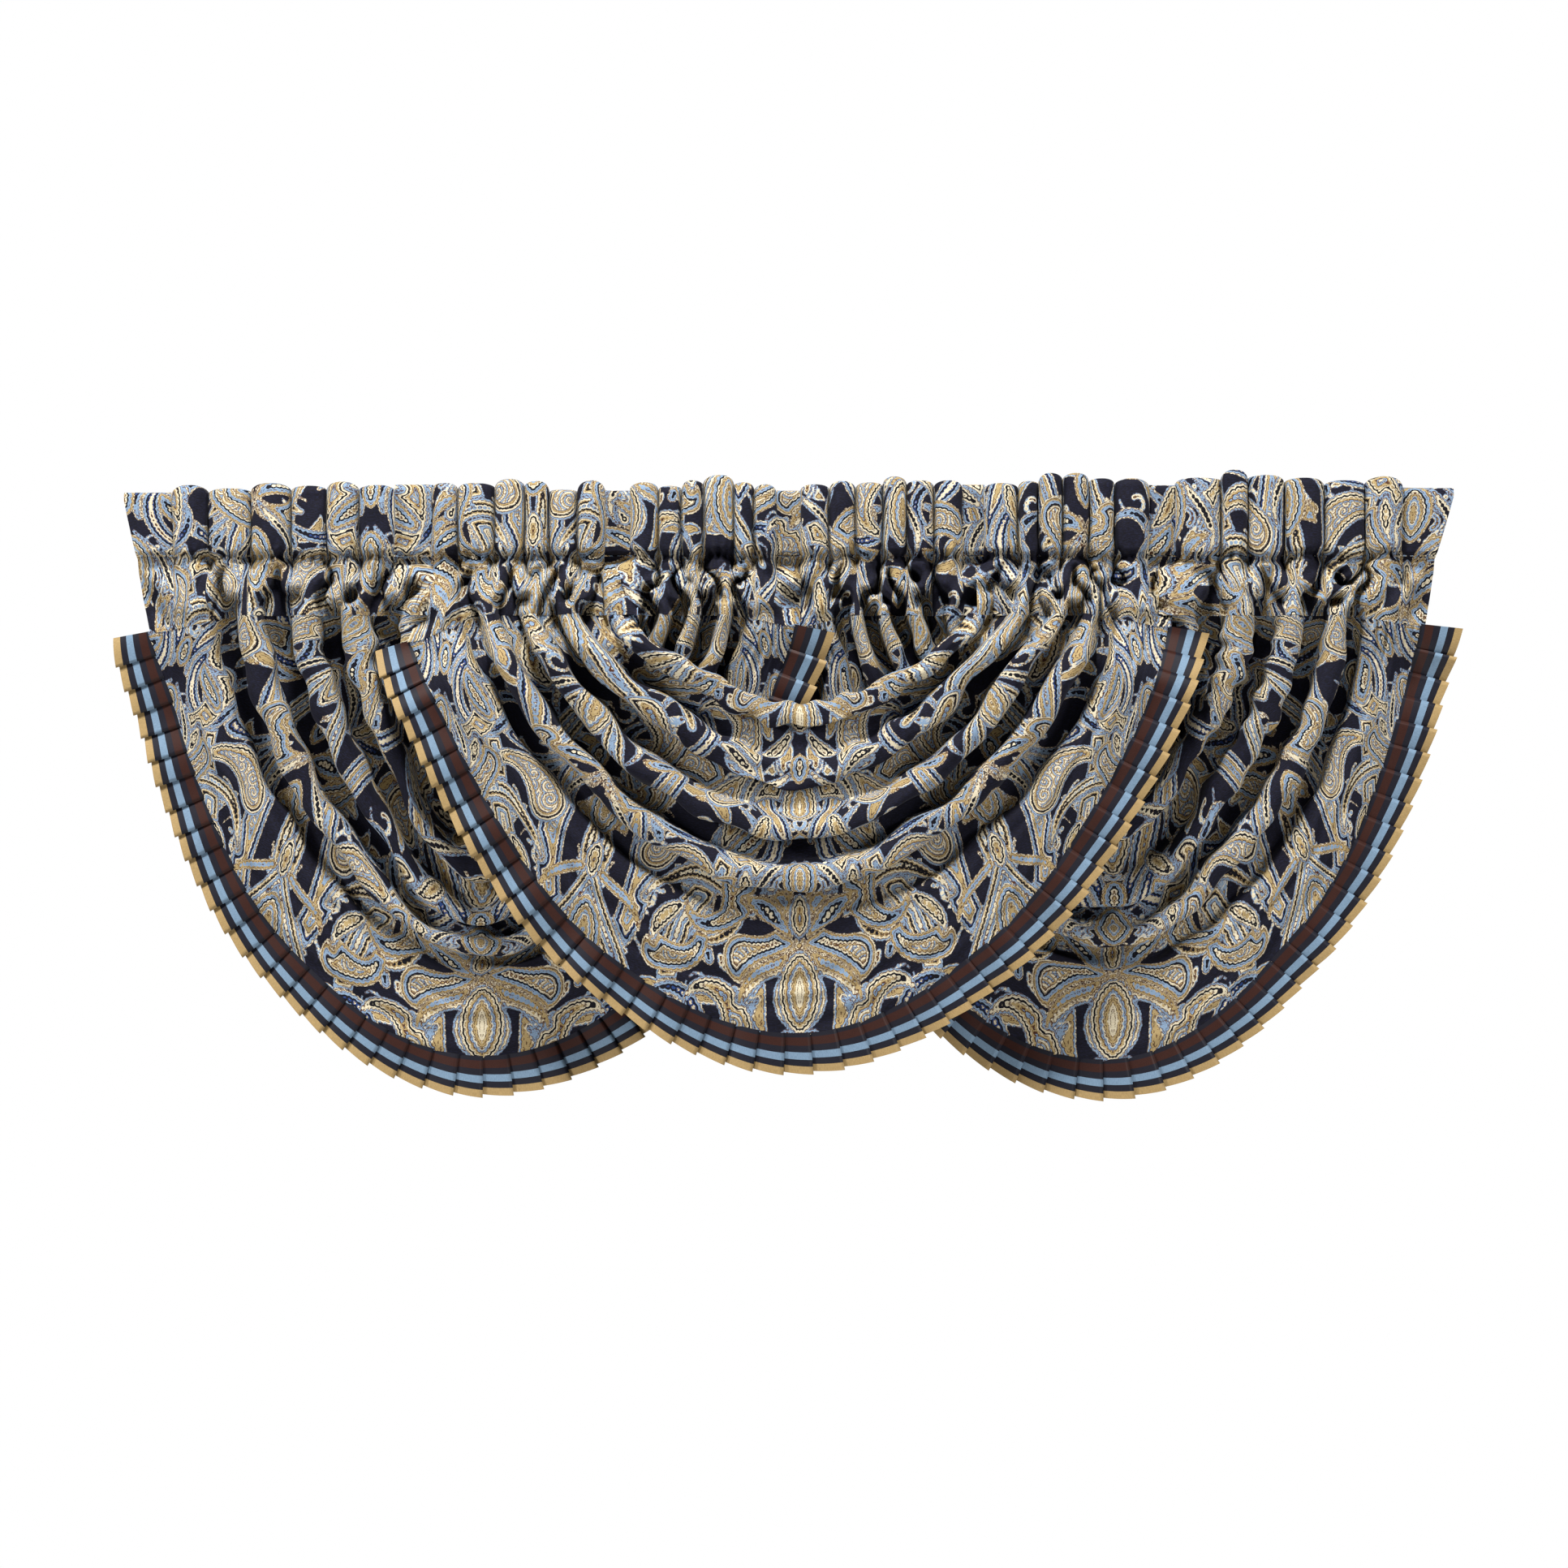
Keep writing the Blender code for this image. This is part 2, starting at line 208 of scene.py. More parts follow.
# %% The figures of the three layers
HOOKS = strew(40, 23, 74, (70, 640), (2.6, 3.4, 5.0))
del HOOKS[3]              # it would close into a ring beside the middle axis
SPRAYS = strew(34, 11, 62, (40, 190), (2, 10, 1)) + HOOKS
BANDS = [
    Stroke(34, -60, 76, 380, -24, 44, 5, 19, 8),
    Stroke(128, 20, 118, 400, -58, 62, 6, 21, 7),
    Stroke(250, -30, 64, 430, 40, -66, 8, 24, 9),
    Stroke(336, 120, 118, 360, -60, 40, 6, 19, 6),
    Stroke(60, 330, 50, 340, 62, -40, 5, 19, 7),
    Stroke(196, 420, 118, 300, -70, 70, 8, 21, 8),
    Stroke(330, 430, 125, 260, -40, 60, 5, 19, 6),
] + strew(7, 31, 250, (30, 190), (4, 12, 4), 70)
AXIS_LEAVES = ((0, 70, 92, 4, 27), (0, 190, 56, 2, 16), (0, 268, 104, 3, 32), (0, 396, 52, 2, 15),
               (0, 470, 96, 4, 28), (0, 590, 60, 2, 16), (340, 60, 96, 3, 29), (340, 180, 54, 2, 15),
               (340, 262, 100, 3, 31), (340, 420, 92, 4, 27), (340, 545, 56, 2, 16))
MOTIFS = (strew(10, 47, 160, (20, 215), (29, 18, 2.5), 85)
          + strew(9, 59, 78, (-30, 170), (8, 14, 1.5), 40)) + [
    Stroke(6, 60, 64, 150, -70, 150, 3, 9, 3),
    Stroke(6, 250, 116, 130, 130, -150, 3, 8, 3),
    Stroke(6, 420, 60, 160, -80, 170, 3, 9, 3),
    Stroke(334, 20, 118, 150, 70, -150, 3, 9, 3),
    Stroke(334, 200, 62, 130, -130, 150, 3, 8, 3),
    Stroke(334, 400, 120, 160, 80, -170, 3, 9, 3),
    Stroke(12, 246, -52, 92, 34, 60, 2, 14, 1),
    Stroke(10, 196, -64, 70, 50, 90, 2, 9, 1),
    Stroke(60, 452, -40, 90, 10, 50, 2, 11, 1),
] + [Stroke(u, v, 90, length, 0, 0, start, middle, 2) for u, v, length, start, middle in AXIS_LEAVES]
print("strokes in half a repeat:", len(SPRAYS), len(BANDS), len(MOTIFS))


# %% Turn strokes into a distance field on one repeat
GRID = 2.0                # mm between the field's points
FIELD_REACH = 26          # mm outside a figure where the field stops
KIND_STEP = 0.618         # shares the figures out between two colourings
OUTLINE = 1.2             # mm of ground left round a figure that lies on another


def stroke_path(stroke, step=3.0):
    """Points along a stroke with its half width and the length run so far."""
    count = max(int(stroke.length / step), 6)
    run = np.linspace(0, stroke.length, count)
    bend = np.radians(mix(stroke.bend_start, stroke.bend_end, run / stroke.length)) / 100
    heading = np.radians(stroke.heading) + np.append(0, np.cumsum(bend[1:] * np.diff(run)))
    u = stroke.u + np.append(0, np.cumsum(np.cos(heading[1:]) * np.diff(run)))
    v = stroke.v + np.append(0, np.cumsum(np.sin(heading[1:]) * np.diff(run)))
    t = run / stroke.length
    width = (stroke.w_start * (1 - t) * (1 - 2 * t) + 4 * stroke.w_middle * t * (1 - t)
             + stroke.w_end * t * (2 * t - 1))
    return u, v, np.maximum(width, 0.6), run


def reached(path, reach, count):
    """First and last place of the field that a path comes near."""
    return max(int((path.min() - reach) / GRID), 0), min(int((path.max() + reach) / GRID) + 1, count)


def design_field(strokes):
    """Depth field (negative inside), the run along the stroke, and its kind, 0 to 1."""
    count_u, count_v = int(TILE_WIDTH / GRID) + 1, int(TILE_HEIGHT / GRID)
    distance = np.full((count_u, count_v), float(FIELD_REACH))
    run_at = np.zeros(distance.shape)
    kind_at = np.zeros(distance.shape)
    for number, stroke in enumerate(strokes):
        path_u, path_v, widths, runs = stroke_path(stroke)
        reach = widths.max() + FIELD_REACH
        for mirrored in (path_u, -path_u, 2 * TILE_WIDTH - path_u):
            for shift in (-TILE_HEIGHT, 0, TILE_HEIGHT):
                moved = path_v + shift
                low_u, high_u = reached(mirrored, reach, count_u)
                low_v, high_v = reached(moved, reach, count_v)
                if low_u >= high_u or low_v >= high_v:
                    continue
                part = (slice(low_u, high_u), slice(low_v, high_v))
                grid_u = np.arange(low_u, high_u)[:, None, None] * GRID
                grid_v = np.arange(low_v, high_v)[None, :, None] * GRID
                far = np.hypot(grid_u - mirrored, grid_v - moved) - widths
                nearest = far.argmin(-1)
                own = np.take_along_axis(far, nearest[..., None], -1)[..., 0]
                under = np.maximum(distance[part], OUTLINE - own)
                over = own < under
                distance[part] = np.minimum(own, under)
                run_at[part] = np.where(over, runs[nearest], run_at[part])
                kind_at[part] = np.where(over, (number * KIND_STEP) % 1, kind_at[part])
    return distance, run_at, kind_at


FIELDS = {
    "sprays": design_field(SPRAYS),
    "bands": design_field(BANDS),
    "motifs": design_field(MOTIFS),
}
covered = np.minimum(FIELDS["bands"][0], FIELDS["motifs"][0]) < 0
print("share of the cloth under large figures:", round(float(covered.mean()), 2))


# %% Read the field at the cloth's own flat coordinates
def folded(u):
    """The mirrored place on the half repeat, for a distance from the panel's axis."""
    return TILE_WIDTH - np.abs(np.mod(np.abs(u), 2 * TILE_WIDTH) - TILE_WIDTH)


def read_field(field, u, v):
    """Bilinear reading of a field at u, v in millimetres."""
    fu = np.clip(folded(u), 0, TILE_WIDTH - 0.001) / GRID
    fv = np.mod(v, TILE_HEIGHT) / GRID
    iu, iv = fu.astype(int), fv.astype(int) % field.shape[1]
    next_v = (iv + 1) % field.shape[1]
    su, sv = fu - iu, fv - np.floor(fv)
    low = mix(field[iu, iv], field[iu + 1, iv], su)
    high = mix(field[iu, next_v], field[iu + 1, next_v], su)
    return mix(low, high, sv)


# %% [markdown]
# ## From a grid of points to a mesh
#
# A cloth simulation would not land on the solids' folds, and nor would modifiers on a
# plane. So every cloth here is a grid of computed points, and one function makes them
# all. It stores the flat coordinates as a UV map for the weave, and the design's fields
# as point attributes for the figures.


# %% Build a cloth from its grid
def cloth_mesh(name, points, u, v, fields=True):
    """A mesh through points[i, j] in mm, with flat coordinates u and v in mm."""
    count_i, count_j = u.shape
    index = np.arange(count_i * count_j).reshape(count_i, count_j)
    faces = np.stack([index[:-1, :-1], index[:-1, 1:], index[1:, 1:], index[1:, :-1]], -1)
    mesh = bpy.data.meshes.new(name)
    mesh.from_pydata((points * MM).reshape(-1, 3).tolist(), [], faces.reshape(-1, 4).tolist())
    corners = np.empty(len(mesh.loops), dtype=np.int32)
    mesh.loops.foreach_get("vertex_index", corners)
    flat = np.stack([u, v], -1).reshape(-1, 2) * MM
    mesh.uv_layers.new(name="flat").data.foreach_set("uv", flat[corners].ravel())
    if fields:
        for layer, maps in FIELDS.items():
            values = np.stack([read_field(field, u, v) for field in maps], -1)
            attribute = mesh.attributes.new(layer, "FLOAT_VECTOR", "POINT")
            attribute.data.foreach_set("vector", values.ravel())
    mesh.shade_smooth()
    area = sum(face.area for face in mesh.polygons)
    piece = bpy.data.objects.new(name, mesh)
    bpy.context.scene.collection.objects.link(piece)
    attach(piece, "root")
    print(name, len(mesh.polygons) * 2, "triangles,", round(area, 3), "square metres")
    return piece


# %% [markdown]
# ## The swags
#
# A swag is one cloth cut as a fan and gathered at both ends, so that its folds hang as
# nested bows. Such a fold is not a simple wave. Near the strips it is a narrow round
# tube with a flat hollow beside it. Towards the middle it widens into a soft belly that
# hangs over the hollow below it, so the steep side faces down. A bevelled curve could
# sweep one section, but not one that changes on the way. So the section is computed at
# each angle, and small seeded waves keep the cloth from looking turned on a lathe.
#
# The flat coordinates are places in the fan, so the design spreads towards the hem as
# it does on cut cloth.

# %% Shape values of a fold
SEAM_CREST = 0.76         # height of a fold at the seam, as a share of its full height
SEAM_HOLLOW = 17          # the hollows at the seam lie this far behind it
FULL_DEPTH_ANGLE = 10     # degrees below the seam where the folds reach full height
HEM_LIFT = 0.4            # the hem stands this share of the border's height forward
TUBE_HALF = 0.42 * math.pi    # half the width of a tube, where a fold's pitch is a full turn
BELLY_HALF = 0.66 * math.pi   # half the width of a belly, in the same measure
TUBE_FLATNESS = 2.2       # more than 2 flattens a tube's crest
TUBE_STEEPNESS = 0.62     # less than 1 steepens a tube's sides
FOLD_PITCH = 72           # mm from crest to crest of a usual fold
FOLD_DEPTH = 52           # mm from crest to hollow of a usual fold
SCOOP_TURN = 16           # mm that the scoop edge turns under
CREST_WIDENING = 0.05
SIDE_UNDERCUT = 0.09      # share of the pitch by which a tube leans over its hollow
BELLY_UNDERCUT = 0.10
FOLD_WANDER = 3.2         # mm that the fold lines wander in their plane
WANDER_ARC = 420          # mm, a usual fold's radius
WANDER_DEPTH = 380        # mm from the hem to the scoop, roughly
CLOTH_WRINKLE = 1.6       # mm of slow unevenness over the whole cloth
SEAM_PULL = 2.6           # mm of short pulls that run out from the seam
HEM_FLUTTER = 3.0         # mm that the hem waves to and fro
FAN_SHARE = 0.56          # the swag is cut as a fan this much narrower than it hangs
FAN_START = 265           # mm from the fan's centre to the scoop edge
BELLY_VALLEY = 0.68       # where the hollow lies between two folds at the bottom
SWAG_COLUMNS = 330        # steps from one end of the hem to the other
BORDER_ROWS = 62
FOLD_ROWS = 50
TURN_ROWS = 22
print("rows from hem to scoop:", BORDER_ROWS + 4 * FOLD_ROWS + TURN_ROWS + 1)


def ripple(u, v, seed, count, wave_u, wave_v=(300, 900)):
    """A smooth, uneven wave of about unit height, along u alone where v is 0."""
    draw = np.random.default_rng(seed)
    total = np.zeros(np.broadcast(u, v).shape)
    for _ in range(count):
        turn_u = 2 * math.pi / draw.uniform(*wave_u) * draw.choice((-1, 1))
        turn_v = 2 * math.pi / draw.uniform(*wave_v)
        total += np.sin(u * turn_u + v * turn_v + draw.uniform(0, 2 * math.pi))
    return total / math.sqrt(count)


def tube_shape(phase, half_width):
    """Height, 0 to 1, of rounded tubes at every full turn of phase, flat between them."""
    away = np.abs(np.mod(phase + math.pi, 2 * math.pi) - math.pi)
    return (1 - np.minimum(away / half_width, 1) ** TUBE_FLATNESS) ** TUBE_STEEPNESS


def even_phases(count):
    """Phases from crest to crest, spaced evenly along the cloth of a usual fold."""
    phase = np.linspace(0, 2 * math.pi, 2001)
    steps = np.hypot(np.diff(phase) / (2 * math.pi) * FOLD_PITCH,
                     np.diff(tube_shape(phase, TUBE_HALF)) * FOLD_DEPTH)
    run = np.append(0, np.cumsum(steps))
    return np.interp(np.arange(count) / count * run[-1], run, phase)


def seam_drop(panel, radius, right):
    """How far the seam hangs down, in mm, at a distance from the panel's middle."""
    outer = np.where(right, panel.folds[0].radii[-1], panel.folds[0].radii[0])
    inner = np.where(right, panel.folds[2].radii[-1], panel.folds[2].radii[0])
    drop = np.where(right, panel.drop[1], panel.drop[0])
    return drop * ease((radius - inner) / (outer - inner))


# %% The section across the folds, for all angles at once
def swag_sections(panel, angles):
    """Arrays of radius and y in mm, a row for each angle, from the hem to the scoop."""
    radii = [along(fold.radii, angles) for fold in panel.folds]
    side = np.abs(np.cos(np.radians(angles))) ** 1.2
    opened = ease(np.minimum(angles, 180 - angles) / FULL_DEPTH_ANGLE)
    share = mix(SEAM_CREST, 1.0, opened)
    heights = [mix(f.bottom_height, f.side_height, side) * share for f in panel.folds]
    right_share = ease(angles / 180)
    seam_y = mix(panel.seam_y[0], panel.seam_y[1], right_share)
    open_valley = mix(panel.valley_y[0], panel.valley_y[1], right_share)
    valley = mix(seam_y + SEAM_HOLLOW, open_valley, opened)
    valley_at = mix(BELLY_VALLEY, 0.5, side)
    flank_before = SIDE_UNDERCUT * side * opened
    flank_after = mix(BELLY_UNDERCUT, SIDE_UNDERCUT, side) * opened

    columns = []
    hem_y = valley - HEM_LIFT * heights[1]
    for t in np.arange(BORDER_ROWS) / BORDER_ROWS:
        y = mix(hem_y, valley - heights[1], math.sin(t * math.pi / 2))
        columns.append((mix(radii[0], radii[1], t), y))
    for i in range(1, len(radii) - 1):
        pitch = radii[i] - radii[i + 1]
        for phase in even_phases(FOLD_ROWS):
            first_half = phase < math.pi
            t = (phase / math.pi * valley_at if first_half
                 else valley_at + (phase / math.pi - 1) * (1 - valley_at))
            flank = flank_before if first_half else flank_after
            height = mix(heights[i], heights[i + 1], ease(t))
            half = mix(BELLY_HALF, TUBE_HALF, side ** 0.4)
            inward = t + CREST_WIDENING * math.sin(phase) * side + flank * math.sin(2 * phase)
            columns.append((radii[i] - pitch * inward, valley - height * tube_shape(phase, half)))
    for turn in math.pi * np.arange(TURN_ROWS + 1) / TURN_ROWS:
        y = valley - heights[-1] * (1 + math.cos(turn)) / 2
        columns.append((radii[-1] - SCOOP_TURN * math.sin(turn), y))
    return [np.stack(part, -1) for part in zip(*columns)]


def swag_place(panel, angles, radius, y):
    """Points in mm for polar places, with the ends let down along the seam's drop."""
    angle = np.broadcast_to(angles[:, None], radius.shape)
    right = angle > 90
    drop_angle = np.degrees(np.arcsin(seam_drop(panel, radius, right) / radius))
    turned = np.where(right, mix(90, 180 - drop_angle, (angle - 90) / 90),
                      mix(drop_angle, 90, angle / 90))
    x = panel.middle - radius * np.cos(np.radians(turned))
    z = SEAM_Z - radius * np.sin(np.radians(turned))
    return np.stack([x, y, z], -1)


def running_length(points, axis):
    """Length of cloth run so far along one axis of a grid of points."""
    steps = np.linalg.norm(np.diff(points, axis=axis), axis=-1)
    start = np.zeros_like(np.take(steps, [0], axis=axis))
    return np.concatenate([start, np.cumsum(steps, axis=axis)], axis=axis)


# %% Make each swag
def swag_surface(panel):
    """Points and flat coordinates of a swag, all in mm."""
    angles = np.linspace(0, 180, SWAG_COLUMNS + 1)
    radius, y = swag_sections(panel, angles)
    seed = sum(map(ord, panel.name))
    rows = np.arange(radius.shape[1]) / radius.shape[1]
    arc = np.radians(angles)[:, None] * WANDER_ARC
    inside = ease(angles / 14)[:, None] * ease((180 - angles) / 14)[:, None] * ease(rows * 7)
    wander = ripple(arc, WANDER_DEPTH * rows, seed + 5, 5, (70, 240), (90, 300))
    radius = radius + FOLD_WANDER * inside * wander
    points = swag_place(panel, angles, radius, y)
    across = running_length(points, 1)
    flat_v = across[SWAG_COLUMNS // 6:-SWAG_COLUMNS // 6].mean(0)
    flat_v = np.broadcast_to(flat_v[-1] - flat_v, radius.shape)
    run = running_length(points, 0)
    flat_u = run - run[SWAG_COLUMNS // 2]
    to_end = np.minimum(run, run[-1] - run)
    free = ease(to_end / 60)
    wrinkles = CLOTH_WRINKLE * ripple(flat_u, flat_v, seed, 7, (220, 520), (26, 60))
    short_waves = ripple(0, flat_v, seed + 1, 5, (300, 900), (12, 24))
    pulls = SEAM_PULL * np.exp(-to_end / 55) * short_waves
    hem_share = np.exp(-(flat_v[0].max() - flat_v) / 60)
    hem_waves = ripple(flat_u, 0, seed + 2, 4, (110, 260))
    flutter = HEM_FLUTTER * hem_share * hem_waves
    points[..., 1] += free * (wrinkles + flutter) + pulls * ease(to_end / 8)
    fan_angle = np.radians(angles[:, None] - 90) * FAN_SHARE
    fan_radius = FAN_START + flat_v
    return points, fan_radius * np.sin(fan_angle), fan_radius * np.cos(fan_angle)


swags = {}
surfaces = {}
for panel in PANELS:
    points, flat_u, flat_v = swag_surface(panel)
    surfaces[panel.name] = points
    swags[panel.name] = cloth_mesh(panel.name + "_swag_cloth", points, flat_u, flat_v)
    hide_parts(panel.name + "_swag")

# %% [markdown]
# ## The gathered strips
#
# A strip goes up the front of the rod, over it and down the back, and is stitched
# through below. It is longer than the rod it covers, so it bunches into soft upright
# tubes with sharp creases between them. The stitches pinch the tubes, and below them
# the skirt's folds open and run on into the swag's folds. A displaced plane would give
# even waves, but real tubes differ in width and top, so each row of the grid is
# computed from the table of gathers, and in the skirt from the swag's top edge too.

# %% Shape values of a strip
STRIP_STEP = 1.5          # mm between columns
SKIRT_ROWS = 42
FRONT_ROWS = 40
TOP_ROWS = 14
BACK_ROWS = 22
CREASE_Y = -2             # the creases between the tubes reach in to the rod
TUBE_DEPTH = 24           # mm that a tube stands in front of its creases
BACK_Y = 10
TUBE_CORNER = 0.88        # below 1 a tube is fuller than a half circle
TAB_FULLNESS = 0.12       # a flat tab keeps this share of a tube's depth
CREASE_DIP = 9            # mm that a crease lies below the tubes at the top
CROWN = 12                # height of the turn over the rod
SKIRT_LAP = {"left": 26, "center": 11, "right": 26}    # mm that an inner end opens out below
END_LAP = 1.6             # a strip's ends lap this far over the gap to the next strip
END_RUN = 30              # mm beside an end where the lap grows and the sway dies out
PULL_RUN = 100            # mm beside the outer end that lean with it
PUCKER = 3.2              # mm of short puckers at the stitches
PUCKER_FADE = 15          # mm above and below the stitches where they die out
SWAY = 4.0                # mm that the skirt's folds wander sideways
LEAN = 2.4                # mm that a tube leans over on its way up
LEAN_TURN = 2.6
HIDDEN = 26               # mm of the design lost in the crease between two tubes
NEXT_CUT = 140            # mm of the design between the cuts of two strips
SKIRT_HEIGHT = STITCH_Z - SEAM_Z
FRONT_HEIGHT = 95
print("height of the skirt:", SKIRT_HEIGHT, "mm")


def gather_columns(strip):
    """For each column: x, place in its gather, middle, width, crease top, top, fullness, number."""
    rows = []
    x = strip.start - END_LAP
    last = len(strip.gathers) - 1
    for i, (gather_width, gather_top) in enumerate(strip.gathers):
        width = gather_width + (END_LAP if i in (0, last) else 0)
        count = max(int(width / STRIP_STEP), 8)
        before = strip.gathers[max(i - 1, 0)][1]
        after = strip.gathers[min(i + 1, last)][1]
        full = TAB_FULLNESS if i in strip.tabs else 1.0
        for t in np.linspace(0, 1, count, endpoint=i == last):
            level = mix((before + gather_top) / 2, (gather_top + after) / 2, t)
            crease = level - CREASE_DIP * full
            rows.append((x + t * width, t, x + width / 2, width, crease, gather_top, full, i))
        x += width
    return np.array(rows).T


def seam_profile(panel, side, x):
    """y of the swag's top edge at x, so that the strip's folds run on into the swag."""
    radius, y = swag_sections(panel, np.array([180.0 if side else 0.0]))
    radius, y = radius[0, :-TURN_ROWS - 1], y[0, :-TURN_ROWS - 1]
    order = np.argsort(radius)
    return np.interp(np.abs(x - panel.middle), radius[order], y[order])


def seam_phase(panel, side, x):
    """Phase of the swag's folds at x along the seam: a full turn from crest to crest."""
    radii = [fold.radii[-1 if side else 0] for fold in reversed(panel.folds)]
    phases = 2 * math.pi * np.arange(len(radii))
    phases[-1] -= 1.1 * math.pi
    return np.interp(np.abs(x - panel.middle), [radii[0] - 60, *radii], [-1.1 * math.pi, *phases])


def strip_surface(strip):
    """Points and flat coordinates of a gathered strip, all in mm."""
    panel = next(p for p in PANELS if p.name == strip.panel)
    x, t, centre, width, crease_top, gather_top, full, number = gather_columns(strip)
    seed = sum(map(ord, strip.name))
    bow = np.sin(math.pi * t) ** TUBE_CORNER
    swell = np.cos(math.pi * t)
    round_x = centre - width / 2 * np.sign(swell) * np.abs(swell) ** TUBE_CORNER
    squeeze = (round_x - x) * full
    tube = bow * full
    top = mix(crease_top, gather_top, np.minimum(tube + 1 - full, 1))
    pucker = ripple(x, 0, seed, 4, (9, 16))
    lean = ripple(x, 0, seed + 4, 2, (90, 200))
    stitch_z = STITCH_Z + 2.4 * ripple(x, 0, seed + 7, 3, (34, 120)) * full
    outer = (x[-1] - x) if strip.side else (x - x[0])
    pull = 1 - ease(outer / PULL_RUN)
    from_end = np.minimum(x - x[0], x[-1] - x)
    inside = ease(from_end / END_RUN)
    inner = (x - x[0]) if strip.side else (x[-1] - x)
    lap = SKIRT_LAP[strip.panel] * (-1 if strip.side else 1) * (1 - ease(inner / END_RUN))
    edge_back = (0 if strip.panel == "center" else 5) * (1 - ease(from_end / 9))
    seam_y = panel.seam_y[1] if strip.side else panel.seam_y[0]
    rows = []

    # the skirt, from the seam up to the stitches
    for k in np.linspace(0, 1, SKIRT_ROWS, endpoint=False):
        z = mix(SEAM_Z - 2.5, stitch_z, k)
        below = 1 - k
        slant = mix(strip.end_slant[0], strip.end_slant[1], below ** 1.6)
        sway = SWAY * math.sin(math.pi * k) * ripple(x, z, seed + 6, 3, (60, 120), (60, 140))
        at_x = x + pull * slant + squeeze * ease((k - 0.5) * 2.4) * ease(below * 6) + sway * inside
        at_x = at_x + lap * ease(below * 4)
        folds = seam_profile(panel, strip.side, at_x) - seam_y
        pinch = ease(below / 0.12)
        half = mix(0.5, 0.97, ease(k / 0.95)) * math.pi
        tubes = tube_shape(seam_phase(panel, strip.side, at_x + 5 * sway), half)
        folds = mix(folds, SEAM_HOLLOW - mix(43, 34, k) * tubes, ease(k / 0.3))
        gathered = mix(6, 10, pinch) - (13 + 18 * pinch) * tube ** mix(1.2, 3.0, pinch)
        puckered = PUCKER * pucker * full * math.exp(-(below * SKIRT_HEIGHT / PUCKER_FADE) ** 2)
        wrinkle = 1.7 * ripple(x, z, seed + 2, 5, (14, 40), (24, 90))
        wrinkle *= math.sin(math.pi * k)
        blended = mix(folds, gathered, ease((k - 0.6) / 0.36))
        y = mix(seam_y - 0.8, CREASE_Y + 4, ease(k)) + blended - puckered + wrinkle * full
        rows.append((at_x, y + edge_back, z, mix(SEAM_Z - 2.5, STITCH_Z, k)))

    # up the front of the rod pocket
    for k in np.linspace(0, 1, FRONT_ROWS, endpoint=False):
        z = mix(stitch_z, top - CROWN, k)
        filled = ease(k / 0.10) * (1 - 0.22 * ease((k - 0.75) / 0.25))
        base = mix(4, CREASE_Y, ease(k / 0.10))
        wrinkle = 1.0 * ripple(x, z, seed + 3, 4, (24, 60), (50, 140)) * ease(k * 4)
        puckered = PUCKER * pucker * full * math.exp(-(k * FRONT_HEIGHT / PUCKER_FADE) ** 2)
        y = base - mix(11, TUBE_DEPTH, filled) * tube - puckered - wrinkle * full
        drift = LEAN * lean * math.sin(LEAN_TURN * k)
        at_x = x + pull * mix(strip.end_slant[0], 0, k) + squeeze * ease(k / 0.2) + drift
        rows.append((at_x, y, z, STITCH_Z + k * 100))

    # over the rod and down the back
    front_y = y
    back_y = BACK_Y + 3 * tube
    drift = LEAN * lean * math.sin(LEAN_TURN)
    for turn in np.linspace(0, math.pi, TOP_ROWS, endpoint=False):
        y = mix(front_y, back_y, (1 - math.cos(turn)) / 2)
        crest = top - CROWN + CROWN * math.sin(turn) ** 0.85
        rows.append((x + squeeze * math.cos(turn / 2) + drift, y, crest, STITCH_Z + 100 + 12 * turn))
    for k in np.linspace(0, 1, BACK_ROWS):
        z = mix(top - CROWN, STITCH_Z + 1, k)
        y = mix(back_y, 0.6 - 2 * tube, ease((k - 0.84) / 0.16))
        rows.append((x + pull * strip.end_slant[0] * k + drift * (1 - k), y, z, STITCH_Z + 138 + k * 95))

    points = np.stack([np.stack(row[:3], -1) for row in rows], 1)
    flat_v = -np.broadcast_to([row[3] for row in rows], points.shape[:2])
    below = np.clip((STITCH_Z - points[..., 2]) / (STITCH_Z - SEAM_Z), 0, 1)
    reach = np.abs(points[..., 0] - panel.middle)
    points[..., 2] -= seam_drop(panel, reach, np.full(reach.shape, bool(strip.side))) * below
    run = running_length(points[:, SKIRT_ROWS + FRONT_ROWS // 2], 0)
    flat_u = np.broadcast_to((run + HIDDEN * number)[:, None], flat_v.shape)
    return points, flat_u, flat_v


# %% Make each strip
strip_pieces = {}
for strip in STRIPS:
    points, flat_u, flat_v = strip_surface(strip)
    strip_pieces[strip.name] = cloth_mesh(strip.name + "_cloth", points, flat_u,
                                          flat_v + NEXT_CUT * len(strip_pieces))
    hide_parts(strip.name)

# %% [markdown]
# ## The pleated ribbon
#
# A knife pleat lies flat: the ribbon's face runs on for a pleat's width, folds back
# under itself for a short way, and turns again into the next face. Each face starts
# beneath the one before it, so a thin shadow marks every fold. Round a curve the faces
# fan out a little. Copies of one pleat would leave gaps there, so a single ribbon is
# led along the swag's own hem points, forwards and back.

# %% Shape values of the trim
TRIM_WIDTH = 56
TRIM_TUCK = 3             # mm of the ribbon sewn under the hem
PLEAT_PITCH = 38          # mm of hem for each pleat
UNDERLAP = 12             # mm that the ribbon folds back under itself
PLEAT_LIFT = 11.5         # mm that a pleat's free fold stands off
FAN_OUT = 6.5             # mm that a face spreads at its outer edge
TRIM_ROWS = 12
print("ribbon for each metre of hem:", round(1 + 2 * UNDERLAP / PLEAT_PITCH, 2), "metres")


